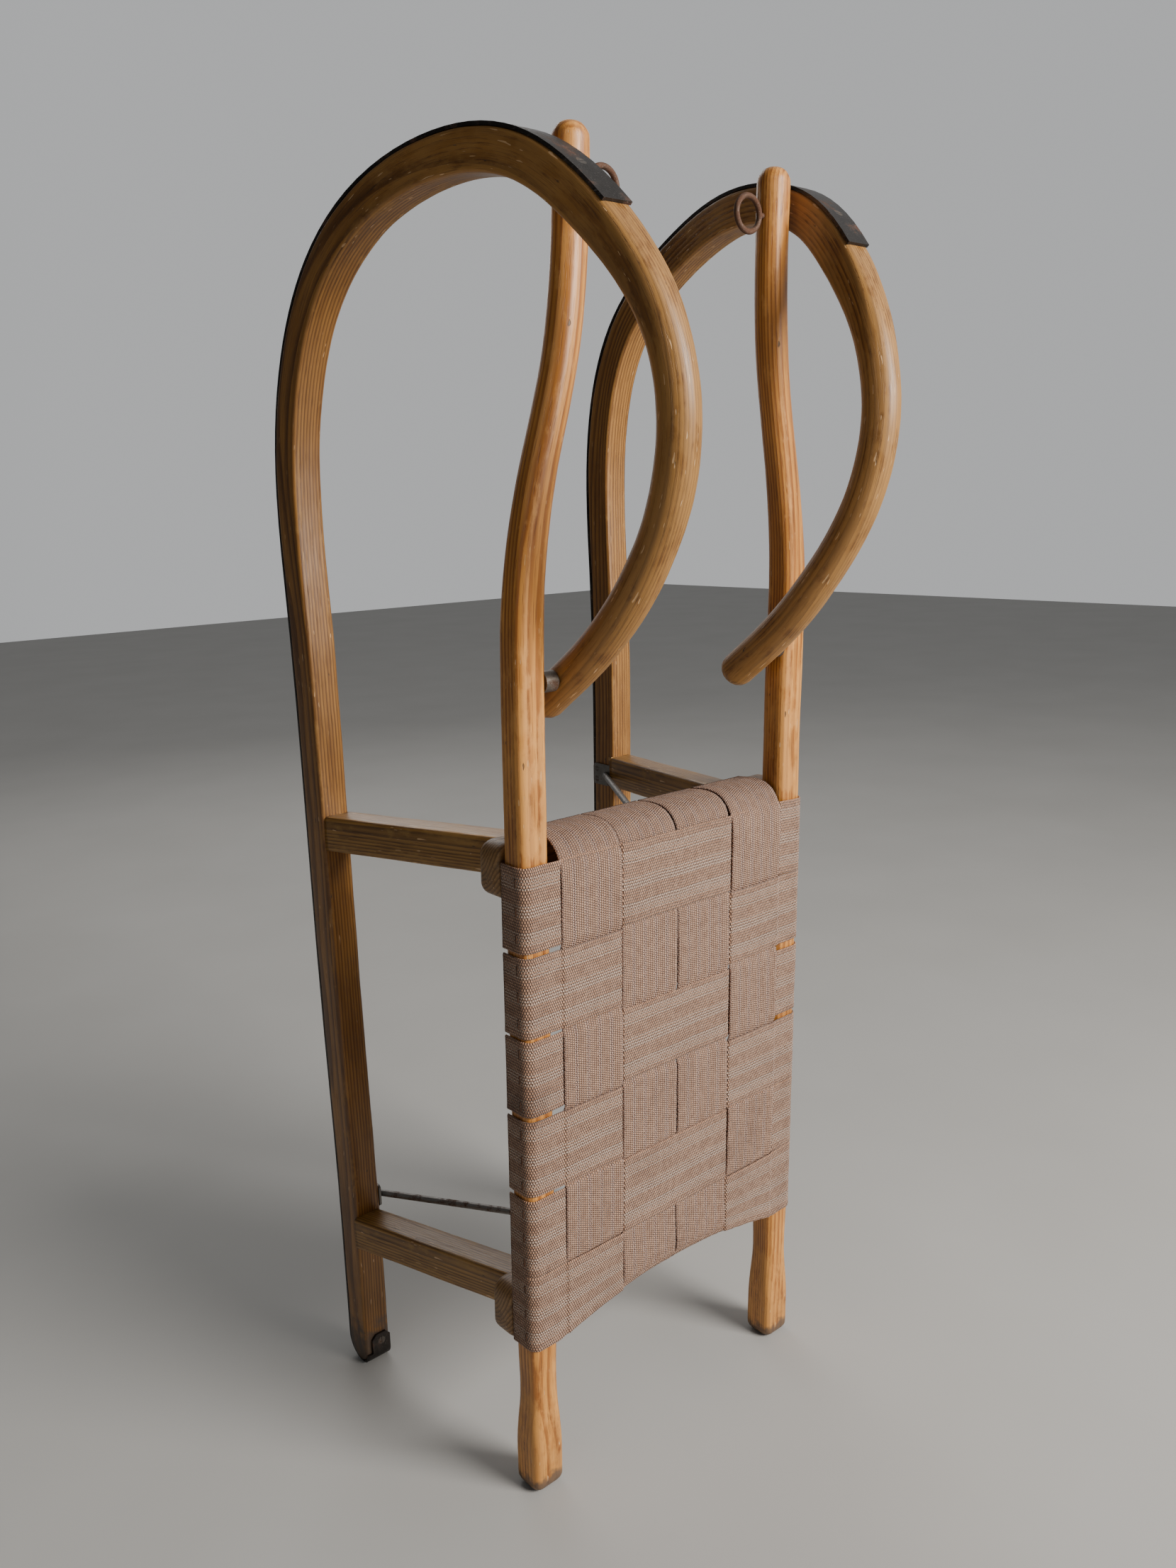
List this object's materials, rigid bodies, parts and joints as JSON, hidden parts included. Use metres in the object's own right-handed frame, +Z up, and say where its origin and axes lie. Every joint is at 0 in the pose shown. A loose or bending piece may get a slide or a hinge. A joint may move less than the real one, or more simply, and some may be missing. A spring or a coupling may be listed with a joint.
{
  "type": "wooden horn sled",
  "caption": "Bentwood sled with horned runners, iron shoes, yoked crossbars and a woven webbing seat between two rails, standing upright on its tails.",
  "frame": {"origin": "on the floor, at the middle of the bounding box seen from above, with the sled standing on its runner tails and rail feet", "axes": "+Z up the standing sled, which is its direction of travel; the rider sits on the -Y side, facing +Z; +X is the rider's right hand; the runners are on the +Y side"},
  "size_m": [0.4208, 0.4642, 1.197],
  "materials": {
    "ash_wood": "worn clear varnish",
    "shoe_iron": "dark, worn, lightly rusted",
    "fastener_steel": "dulled",
    "stay_steel": "dull galvanised, rusting at the plates",
    "eye_iron": "rusted",
    "webbing": "coarse woven jute"
  },
  "bodies": {
    "root": {"band_staples_left": "fastener_steel", "band_staples_right": "fastener_steel", "cross_band_1": "webbing", "cross_band_2": "webbing", "cross_band_3": "webbing", "cross_band_4": "webbing", "cross_band_5": "webbing", "cross_band_6": "webbing", "crossbar_front": "ash_wood", "crossbar_rear": "ash_wood", "horn_screw_left": "fastener_steel", "horn_screw_right": "fastener_steel", "horn_spacer_left": "fastener_steel", "horn_spacer_right": "fastener_steel", "leg_front_left": "ash_wood", "leg_front_right": "ash_wood", "leg_rear_left": "ash_wood", "leg_rear_right": "ash_wood", "long_strap_a": "webbing", "long_strap_b": "webbing", "long_strap_c": "webbing", "long_strap_d": "webbing", "rail_screws_left": "fastener_steel", "rail_screws_right": "fastener_steel", "runner_left": "ash_wood", "runner_right": "ash_wood", "screw_eye_left": "eye_iron", "screw_eye_right": "eye_iron", "seat_rail_left": "ash_wood", "seat_rail_right": "ash_wood", "shoe_left": "shoe_iron", "shoe_right": "shoe_iron", "shoe_screws_left": "fastener_steel", "shoe_screws_right": "fastener_steel", "stay_front_left": "stay_steel", "stay_front_right": "stay_steel", "stay_rear_left": "stay_steel", "stay_rear_right": "stay_steel", "stay_screws_front_left": "fastener_steel", "stay_screws_front_right": "fastener_steel", "stay_screws_rear_left": "fastener_steel", "stay_screws_rear_right": "fastener_steel"}
  },
  "joints": []
}
